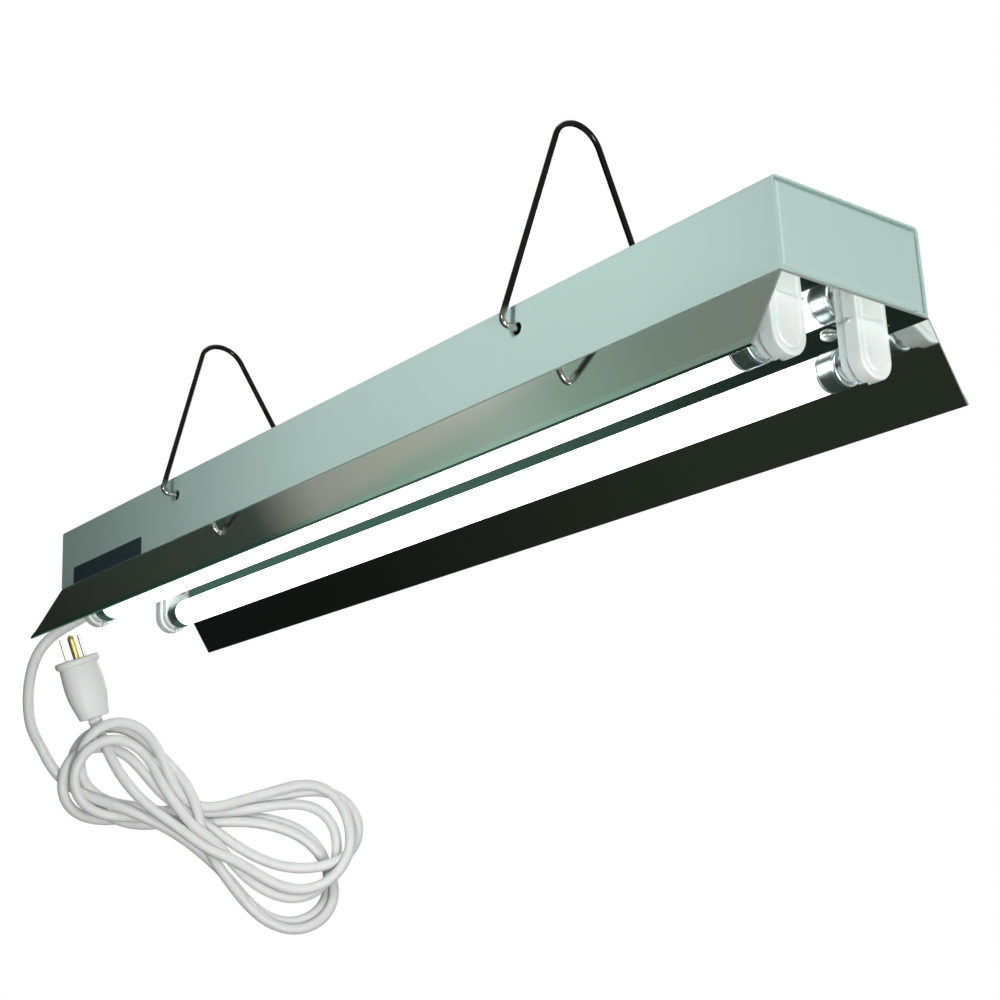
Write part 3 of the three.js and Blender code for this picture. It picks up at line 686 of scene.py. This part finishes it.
def add_end_plates(paint):
    sheet, bend, depth = (END_PLATE[k] for k in ("sheet", "bend", "depth"))
    half = SIDE - HOUSING["sheet"] - END_PLATE["gap"]
    low, high = BOTTOM + HOUSING["sheet"] + END_PLATE["gap"], -HOUSING["sheet"] - END_PLATE["gap"]
    corner = HOUSING["bend"] - HOUSING["sheet"]

    def ring(x, inset):
        top, foot = max(corner - inset, 0.35), max(0.9 - inset, 0.3)
        outline = rounded([(half - inset, high - inset, top), (half - inset, low + inset, foot),
                           (-half + inset, low + inset, foot), (-half + inset, high - inset, top)], 6)
        return [(x, y, z) for y, z in outline]

    bends = [(HALF - bend + bend * math.sin(a), bend * (1 - math.cos(a)))
             for a in np.linspace(0, math.pi / 2, 8)]
    rows = [(HALF - sheet, bend), (HALF - sheet - 0.3, sheet + 0.3), (HALF - bend, sheet),
            (HALF - depth, sheet), (HALF - depth, 0.0), *bends]
    for end, turn in (("right", 0.0), ("left", math.pi)):
        plate = loft(f"end_plate_{end}_pan", [ring(*row) for row in rows])
        plate.data.transform(Matrix.Rotation(turn, 4, "Z"))
        if end == "left":
            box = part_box("strain_relief")
            radius = RELIEF["neck"] + GAP
            hole = rod(radius, -HALF - 6, -HALF + 6, 40)
            middle = (box[0] + box[1]) / 2 / MM
            hole.data.transform(Matrix.Translation((0, middle.y, middle.z)))
            combine(plate, "DIFFERENCE", hole)
        piece(plate, paint, "fixture", "housing_paint", f"end_plate_{end}")


def add_label(film):
    low, high = (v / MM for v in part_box("label"))
    foot = low.z - LABEL["drop"]
    corners = [(low.x, foot), (high.x, foot), (high.x, high.z), (low.x, high.z)]
    outline = rounded([(x, z, LABEL["corner"]) for x, z in corners], 6)
    middle = Vector(((low.x + high.x) / 2, 0, (foot + high.z) / 2))
    back = [(x, high.y, z) for x, z in outline]
    front = [(x, low.y + LABEL["film"], z) for x, z in outline]
    bevel = LABEL["bevel"]
    face = [(x + math.copysign(bevel, middle.x - x), low.y, z + math.copysign(bevel, middle.z - z))
            for x, z in outline]
    label = loft("label_sticker", [back, front, face])
    return piece(label, film, "fixture", "label_film", "label")


# ---- reflector ----
def each_end():
    for row, y in (("front", -LAMP_Y), ("rear", LAMP_Y)):
        for end, side in (("left", -1), ("right", 1)):
            yield f"{row}_{end}", side, y


def screw_place(name):
    low, high = (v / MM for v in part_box(f"reflector_screw_{name}"))
    return (low.x + high.x) / 2, (low.y + high.y) / 2


def add_reflector(metal):
    sheet, hem, step, bend = (REFLECTOR[k] for k in ("sheet", "hem", "hem_step", "bend"))
    top, tip = WING_TOP, wing_tip()
    out, drop = tip.y - SIDE, top - tip.z
    along = Vector((out, -drop)).normalized()
    inward = Vector((along.y, -along.x))
    turned = Matrix.Rotation(math.radians(REFLECTOR["hem_turn"]), 2) @ along
    crest = Vector((SIDE, top))
    knee = crest + along * (math.hypot(out, drop) - hem)
    foot = knee - inward * step
    end = foot + turned * hem
    inner = knee + inward * sheet + along * hem
    inner_crest = (SIDE - sheet * (math.hypot(out, drop) - out) / drop, top - sheet)
    right = [(*crest, bend), (*knee, 0.1), (*foot, 0.3), (*end, 0.35), (*inner, 0.35), (*inner_crest, 0.4)]
    left = [(-y, z, r) for y, z, r in reversed(right)]
    body = prism("reflector_sheet", rounded(right + left, 5), -HALF, HALF)
    for name, side, y in each_end():
        xs = sorted(side * (LAMP_END + HOLDER[k] + s * 0.5) for k, s in (("front", -1), ("back", 1)))
        reach = HOLDER["radius"] + 0.5
        x, screw_y = screw_place(name)
        hole = rod(SCREW["hole"], -60, -20, 24, "Z")
        hole.data.transform(Matrix.Translation((x, screw_y, 0)))
        slot = block("slot", (xs[0], y - reach, BOTTOM - 5), (xs[1], y + reach, BOTTOM + 5))
        combine(body, "DIFFERENCE", slot, hole)
    return piece(body, metal, "fixture", "reflector_mirror", "reflector", angle=20)


def wing_tip():
    """The lowest point of the far wing's inner face, from the CAD sheet."""
    points = [v.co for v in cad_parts["reflector"].data.vertices]
    tip = min((p for p in points if p.y > 0), key=lambda p: p.z) / MM
    along = Vector((0, tip.y - SIDE, tip.z - WING_TOP)).normalized()
    return tip + REFLECTOR["sheet"] * Vector((0, -along.z, along.y))


def phillips_screw(name, turn):
    radius, head, shank, length = (SCREW[k] for k in ("radius", "head", "shank", "length"))
    dome = [(radius * math.sin(a), -head + 0.9 * radius * 0.55 * (1 - math.cos(a)))
            for a in np.linspace(0, math.radians(78), 9)]
    profile = [*dome, (radius, -0.25), (radius - 0.2, 0), (shank, 0)]
    pitch, at = 0.9, 0.5
    while at + pitch < length - 1:
        profile += [(shank, at), (shank - 0.3, at + pitch / 2)]
        at += pitch
    profile += [(shank - 0.3, length - 1), (0, length)]
    screw = lathe(name, profile, 40, "Z")
    for quarter in (0, 1):
        arm = radius * 0.62
        low, high = -head - 0.5, -head + 1.15
        wide, narrow = 0.5, 0.28
        ring = [[(s * arm * k, t * w, z) for s, t in ((-1, -1), (1, -1), (1, 1), (-1, 1))]
                for z, w, k in ((low, wide, 1.0), (high, narrow, 0.45))]
        cutter = loft("cross", ring)
        cutter.data.transform(Matrix.Rotation(quarter * math.pi / 2 + turn, 4, "Z"))
        combine(screw, "DIFFERENCE", cutter)
    return screw


def add_screws(metal):
    for k, (name, side, _) in enumerate(each_end()):
        screw = phillips_screw(f"screw_{name}_phillips", math.radians(25 + 34 * k))
        x, y = screw_place(name)
        z = WING_TOP - REFLECTOR["sheet"] - 0.1
        node = f"reflector_screw_{name}"
        piece(screw, metal, "fixture", "zinc_steel", node, place=Matrix.Translation((x, y, z)), angle=40)


# ---- lamp holders and lamps, drawn for the right end about the lamp's axis ----
def end_matrix(side, y):
    turn = Matrix.Rotation(0 if side > 0 else math.pi, 4, "Z")
    return Matrix.Translation((side * LAMP_END, y, LAMP_Z)) @ turn


def tongue(x, radius, top):
    """A holder's outline at x: straight sides from top, and a half circle below."""
    arc = [(x, radius * math.cos(a), radius * math.sin(a)) for a in np.linspace(math.pi, 2 * math.pi, 33)]
    return [(x, -radius, top), *arc, (x, radius, top)]


def holder_shell(name):
    measures = ("front", "step", "back", "radius", "front_radius")
    front, step, back, radius, nose = (HOLDER[k] for k in measures)
    top = LAMP_BELOW + HOLDER["foot"]
    face = LAMP_BELOW - GAP - REFLECTOR["sheet"]
    ring = face + 5.0
    rows = [(front, nose - 1.2, top), (front + 0.12, nose - 0.55, top), (front + 0.6, nose - 0.1, top),
            (front + 1.1, nose, top), (step - 0.35, nose, top), (step - 0.1, nose + 0.2, top),
            (step, nose + 0.6, top), (step, radius - 0.7, top), (step + 0.2, radius - 0.25, top),
            (step + 0.7, radius, top), (back - 0.9, radius, top), (back - 0.3, radius - 0.28, top),
            (back, radius - 0.9, top), (back, radius - 2.3, ring), (back - 0.25, radius - 2.6, ring - 0.3),
            (back - 0.7, radius - 2.8, ring - 0.5), (back - 0.8, radius - 3.6, ring - 1.3),
            (back - 0.55, radius - 3.9, ring - 1.6), (back - 0.1, radius - 4.2, ring - 1.9),
            (back, radius - 4.8, ring - 2.5), (back - 0.25, radius - 6.6, ring - 4.3)]
    shell = loft(name, [tongue(*row) for row in rows])
    nub = radius + 0.9
    bar = soften(block("nubs", (step + 1.6, -nub, face - 1.3), (step + 3.4, nub, face - 0.5)), 0.3)
    combine(shell, "UNION", bar)
    wide, deep, half = ROTOR["bore"], ROTOR["depth"] + GAP, ROTOR["slot"] / 2
    bore = lathe("bore", [(0, front - 1), (wide + 0.8, front - 1), (wide + 0.5, front + 0.1),
                          (wide, front + 0.6), (wide, deep), (0, deep)], 64)
    entry = block("entry", (front - 1, -half, -radius - 2), (deep, half, 0))
    return combine(shell, "DIFFERENCE", bore, entry)


def rotor_drum(name):
    radius, depth, half = ROTOR["radius"], ROTOR["depth"], ROTOR["slot"] / 2
    profile = [(0, GAP), (radius - 0.7, GAP), (radius - 0.2, GAP + 0.2), (radius, GAP + 0.7),
               (radius, depth - 0.3), (radius - 0.3, depth), (0, depth)]
    slot = block("slot", (GAP - 1, -radius - 1, -half), (depth - 1, radius + 1, half))
    return soften(combine(lathe(name, profile, 64), "DIFFERENCE", slot), 0.2, 2)


def cap_shell(name):
    """Rolled metal cap: a bead at the glass, a crimped groove and a turned-in rim round the pin base."""
    radius, length, inner = LAMP["cap_radius"], LAMP["cap"], LAMP["cap_radius"] - 0.4
    hole, rim = LAMP["cap_hole"], 0.8
    outside = [(radius - 0.1, -length), (radius, -length + 0.2), (radius, -length + 0.7),
               (radius - 0.22, -length + 1.0), (radius - 0.25, -length + 1.3),
               (radius - 0.05, -length + 1.7), (radius - 0.05, -2.3), (radius - 0.2, -2.0),
               (radius - 0.2, -1.7), (radius, -1.4), (radius, -rim)]
    outside += [(radius - rim + rim * math.cos(a), -rim + rim * math.sin(a))
                for a in np.linspace(0.2, 1.5, 6)]
    profile = [(inner, -length), *outside, (hole, 0), (hole, -0.5), (inner - 0.5, -0.55), (inner, -1.0),
               (inner, -length)]
    return lathe(name, profile, 72, filled=False)


def tube_shell(name):
    radius, wall, neck = LAMP["radius"], LAMP["wall"], LAMP["radius"] - LAMP["neck"]
    end, shoulder = LAMP_END - 1.4, LAMP_END - LAMP["cap"] - 0.4
    ease = [(neck + (radius - neck) * math.sin(a), shoulder - 2.2 * (1 - math.cos(a)))
            for a in np.linspace(0, math.pi / 2, 7)]
    right = [(radius - wall, end), (neck, end), *ease]
    left = [(r, -x) for r, x in reversed(right)]
    return lathe(name, [*right, *left, (radius - wall, end)], 72, filled=False)


def add_lamp_ends(plastic, cap, pin):
    for name, side, y in each_end():
        place = end_matrix(side, y)
        lamp = f"lamp_{name.split('_')[0]}"
        shell = soften(holder_shell(f"holder_{name}_moulded"), 0.12, 2, 50)
        piece(shell, plastic, "fixture", "holder_plastic", f"holder_{name}", place=place, angle=40)
        drum = rotor_drum(f"rotor_{name}_drum")
        piece(drum, plastic, lamp, "holder_plastic", f"rotor_{name}", place=place)
        piece(cap_shell(f"cap_{name}_rolled"), cap, lamp, "lamp_cap", f"lamp_cap_{name}", place=place)
        finish_node(f"lamp_pins_{name}", pin)


def add_tubes(glass):
    for row, y in (("front", -LAMP_Y), ("rear", LAMP_Y)):
        place = Matrix.Translation((0, y, LAMP_Z))
        shell = tube_shell(f"tube_{row}_glass")
        piece(shell, glass, f"lamp_{row}", "lamp_glass", f"lamp_tube_{row}", place=place)


# ---- wire hangers ----
def hanger_pivot(name):
    """Where the hanger's two hooked ends lie, on the line through its side holes."""
    points = [v.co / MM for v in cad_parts[name].data.vertices]
    tips = [p for p in points if abs(p.y) < min(abs(q.y) for q in points if q.z < 0) + 1e-3 and p.z < 0]
    return sum(p.x for p in tips) / len(tips), sum(p.z for p in tips) / len(tips)


def bezier(a, b, c, steps):
    return [a * (1 - t) ** 2 + b * (2 * t * (1 - t)) + c * t ** 2 for t in np.linspace(0, 1, steps)]


def hanger_path():
    """Half of the wire from its hooked tip to the crown, in the plane of the holes."""
    lean = math.atan(HANGER["slope"])
    reach, top, tip = (HANGER[k] for k in ("reach", "top", "tip"))
    centre = (top - reach * math.cos(lean)) / (1 - math.sin(lean))
    radius = top - centre
    back = HANGER["hook"] * math.tan((math.pi / 2 + lean) / 2)
    foot = Vector((0, reach - back, 0))
    rise = Vector((0, reach - back * math.sin(lean), back * math.cos(lean)))
    crown = [Vector((0, radius * math.cos(a), centre + radius * math.sin(a)))
             for a in np.linspace(lean, math.pi / 2, 16)]
    return [Vector((0, tip, 0)), *bezier(foot, Vector((0, reach, 0)), rise, 12), *crown]


def add_hangers(metal):
    for name, lean in HANGER["leans"].items():
        x, z = hanger_pivot(name)
        half = hanger_path()
        whole = half + [Vector((0, -p.y, p.z)) for p in reversed(half[:-1])]
        wire = tube(f"{name}_wire", whole, HANGER["wire"], 20)
        place = Matrix.Translation((x, 0, z)) @ Matrix.Rotation(math.radians(lean), 4, "Y")
        piece(wire, metal, name, "hanger_wire", name, place=place, angle=50)


# ---- pieces inside the housing, kept as the frame has them ----
def finish_node(name, material):
    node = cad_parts[name]
    node.data.materials.clear()
    node.data.materials.append(material)
    weld = node.modifiers.new("weld", "WELD")
    weld.merge_threshold = 1e-5


def finish_inner_pieces(zinc_metal):
    white = plain("ballast_paint", (0.62, 0.62, 0.58), (0.72, 0.72, 0.68), 20, 0.42)
    board = plain("circuit_board", (0.02, 0.11, 0.04), (0.04, 0.17, 0.07), 6, 0.5)
    nut = plain("wire_nut", (0.50, 0.14, 0.02), (0.68, 0.22, 0.04), 3, 0.45)
    sleeves = {
        "blue": plain("wire_blue", (0.02, 0.06, 0.28), (0.03, 0.09, 0.38), 8, 0.4),
        "red": plain("wire_red", (0.32, 0.02, 0.02), (0.45, 0.04, 0.03), 8, 0.4),
        "black": plain("wire_black", (0.01, 0.01, 0.01), (0.03, 0.03, 0.03), 8, 0.4),
        "white": plain("wire_white", (0.68, 0.68, 0.66), (0.78, 0.78, 0.76), 8, 0.4),
        "green": plain("wire_green", (0.02, 0.16, 0.05), (0.03, 0.24, 0.08), 8, 0.4),
    }
    for end in ("left", "right"):
        finish_node(f"socket_plate_{end}", zinc_metal)
        finish_node(f"ballast_post_{end}", zinc_metal)
        finish_node(f"ballast_screw_{end}", zinc_metal)
        finish_node(f"wire_front_{end}", sleeves["blue"])
        finish_node(f"wire_rear_{end}", sleeves["red"])
    finish_node("ballast_case", white)
    finish_node("ballast_base", zinc_metal)
    finish_node("ballast_board", board)
    for lead, colour in (("live", "black"), ("neutral", "white")):
        finish_node(f"wire_supply_{lead}", sleeves[colour])
        finish_node(f"wire_ballast_{lead}", sleeves[colour])
        finish_node(f"wire_nut_{lead}", nut)
    finish_node("wire_ground", sleeves["green"])
    finish_node("ground_screw", zinc_metal)


# ---- stage, lights and surroundings ----
def add_floor():
    half, top, tone = FLOOR["half"], FLOOR["top"], (0.86, 0.86, 0.85)
    corners = [(-half, -half), (half, -half), (half, half), (-half, half)]
    floor = loft("floor", [[(x, y, z) for x, y in corners] for z in (top - FLOOR["thick"], top)])
    pale = Finish("floor_pale", tone, 0.7, 0.0, Emission_Strength=0.7)
    pale.tint(pale.noise(600, 2), (0.85, 0.85, 0.84), (0.87, 0.87, 0.86))
    pale.set("Emission Color", (*tone, 1.0))
    floor.data.materials.append(pale.material)
    floor.visible_glossy = floor.visible_diffuse = False


def add_light(name, kind, place, aim, power, **settings):
    data = bpy.data.lights.new(name, kind)
    data.energy = power
    for setting, value in settings.items():
        setattr(data, setting, value)
    light = bpy.data.objects.new(name, data)
    light.rotation_mode = "QUATERNION"
    light.rotation_quaternion = (Vector(aim) - Vector(place)).to_track_quat("-Z", "Y")
    light.location = place
    light.visible_camera = False
    bpy.context.scene.collection.objects.link(light)


def add_lights():
    add_light("key", "SPOT", (0.60, -1.30, 0.45), (0.12, -0.04, -0.02), 66, shadow_soft_size=0.15,
              spot_size=math.radians(22.5), spot_blend=0.5)
    add_light("low_fill", "AREA", (1.7, -0.55, -0.95), (0.22, 0.0, -0.03), 5.6, shape="DISK", size=0.8,
              spread=math.radians(80))
    add_light("top", "AREA", (-0.2, 0.4, 1.9), (0, 0, 0), 9.0, shape="DISK", size=1.4)
    add_light("back", "AREA", (-0.9, 1.9, 0.7), (-0.05, 0.04, -0.03), 9.0, shape="DISK", size=0.8)


# What the near wing mirrors, up and to the left: height of the direction, and the light from there.
BAND = [(0.44, (0.013, 0.020, 0.015)), (0.50, (0.022, 0.038, 0.027)), (0.557, (0.028, 0.050, 0.038)),
        (0.573, (0.115, 0.162, 0.13)), (0.59, (0.20, 0.27, 0.23)), (0.632, (0.25, 0.35, 0.28)),
        (0.683, (0.317, 0.414, 0.351)), (0.70, (0.288, 0.385, 0.327)), (0.72, (0.228, 0.33, 0.265)),
        (0.758, (0.191, 0.249, 0.207)), (0.80, (0.19, 0.225, 0.19))]
STRAIGHT_DOWN, STRAIGHT_UP = (0.02, 0.025, 0.02), (0.35, 0.38, 0.36)


def add_surroundings():
    """White behind the object; to its reflections, a dim room with a soft bright band up to the left."""
    world = bpy.data.worlds.new("studio")
    bpy.context.scene.world = world
    world.use_nodes = True
    nodes, links = world.node_tree.nodes, world.node_tree.links
    nodes.clear()
    direction = nodes.new("ShaderNodeTexCoord").outputs["Generated"]

    def along(axis):
        node = nodes.new("ShaderNodeVectorMath")
        node.operation = "DOT_PRODUCT"
        node.inputs[1].default_value = axis
        links.new(direction, node.inputs[0])
        return node.outputs["Value"]

    def step(axis, start, stop):
        """A smooth step as the direction's share along an axis goes from start to stop."""
        node = nodes.new("ShaderNodeMapRange")
        node.interpolation_type = "SMOOTHSTEP"
        node.inputs["From Min"].default_value, node.inputs["From Max"].default_value = start, stop
        links.new(along(axis), node.inputs["Value"])
        return node.outputs["Result"]

    def blend(factor, first, last, kind="MIX"):
        return mixed(world.node_tree, factor, first, last, kind)

    x, y, z = (1, 0, 0), (0, 1, 0), (0, 0, 1)
    band = nodes.new("ShaderNodeValToRGB")
    links.new(along(z), band.inputs["Fac"])
    stops = band.color_ramp.elements
    for height, tone in BAND:
        stops.new(height).color = (*tone, 1)
    stops[0].position, stops[-1].position = 0.0, 1.0
    stops[0].color, stops[-1].color = (*STRAIGHT_DOWN, 1), (*STRAIGHT_UP, 1)
    bright_side = step((0, 1, -0.164), -0.128, -0.119)
    upper_left = blend(bright_side, band.outputs["Color"], (1.5, 1.13, 1.19), "MULTIPLY")
    upper_left = blend(step(y, -0.01, 0.03), upper_left, (0.66, 1.02, 0.90), "MULTIPLY")
    low_front = blend(step(x, -0.62, -0.85), (0.020, 0.027, 0.017), (0.006, 0.008, 0.007))
    low_back = blend(step(x, -0.60, -0.78), (0.012, 0.022, 0.018), (0.065, 0.145, 0.110))
    low_left = blend(step(y, -0.35, -0.15), low_front, low_back)
    left = blend(step(z, -0.05, 0.35), low_left, upper_left)
    room = blend(step(x, -0.45, 0.25), left, (0.33, 0.345, 0.34))
    dim = nodes.new("ShaderNodeBackground")
    links.new(room, dim.inputs["Color"])
    white = nodes.new("ShaderNodeBackground")
    white.inputs["Color"].default_value = (1, 1, 1, 1)
    mix = nodes.new("ShaderNodeMixShader")
    links.new(nodes.new("ShaderNodeLightPath").outputs["Is Camera Ray"], mix.inputs["Fac"])
    links.new(dim.outputs["Background"], mix.inputs[1])
    links.new(white.outputs["Background"], mix.inputs[2])
    links.new(mix.outputs["Shader"], nodes.new("ShaderNodeOutputWorld").inputs["Surface"])
    bpy.context.scene.view_settings.view_transform = "Standard"


# ---- the whole light ----
add_camera()
vinyl, zinc_metal, paint, plastic = cord_vinyl(), zinc(), housing_paint(), holder_plastic()
cord, cord_exit, cord_length = add_cord(vinyl)
plug_pieces = add_plug(vinyl, nickel_blade(), brass())
relief = add_strain_relief(vinyl)
for obj in (cord, *plug_pieces):
    obj.visible_glossy = False
add_housing(paint)
add_end_plates(paint)
add_label(label_film())
add_reflector(mirror())
add_screws(nickel())
add_lamp_ends(plastic, cap_metal(), lamp_pin())
add_tubes(lamp_glass())
add_hangers(hanger_wire())
finish_inner_pieces(zinc_metal)
add_floor()
add_lights()
add_surroundings()
